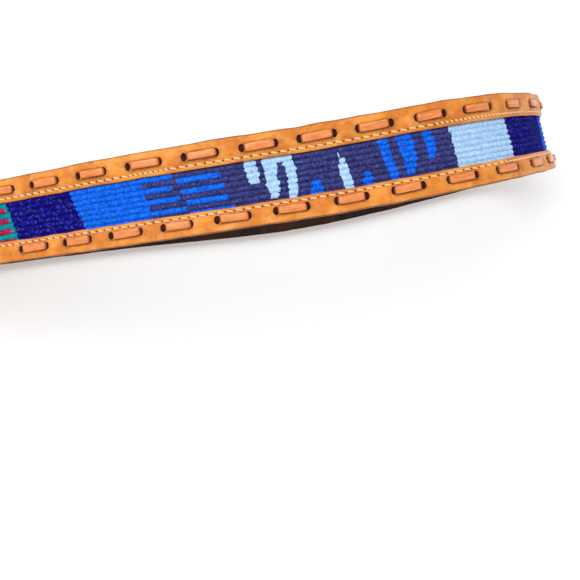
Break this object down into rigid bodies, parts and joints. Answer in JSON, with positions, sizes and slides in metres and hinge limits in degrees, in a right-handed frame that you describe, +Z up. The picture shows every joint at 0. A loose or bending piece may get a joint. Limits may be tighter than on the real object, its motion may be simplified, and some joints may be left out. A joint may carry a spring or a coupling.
{
  "type": "woven leather belt",
  "caption": "Closed leather belt with a patterned woven band between laced leather borders, a plain frame buckle and a keeper, lying on its far strand.",
  "frame": {"origin": "middle of the belt's footprint on the surface that its far strand lies on", "axes": "+X along the loop, from the buckle's end to the rounded end; +Y across the strap, to its upper edge; +Z up, to the near strand"},
  "size_m": [0.4116, 0.0502, 0.1328],
  "materials": {
    "border_leather": "smooth tan leather with a soft sheen",
    "lace_leather": "smooth tan lacing",
    "lining_leather": "dark brown lining leather, dull",
    "woven_cloth": "ribbed weft-faced weave in blues, purple and crimson",
    "buckle_brass": "satin brass"
  },
  "bodies": {
    "root": {"backing": "lining_leather", "woven_band": "woven_cloth", "upper_border": "border_leather", "lower_border": "border_leather", "upper_lace": "lace_leather", "lower_lace": "lace_leather", "tip_tab": "border_leather", "buckle_tab": "border_leather", "keeper": "border_leather", "buckle": "buckle_brass"}
  },
  "joints": []
}
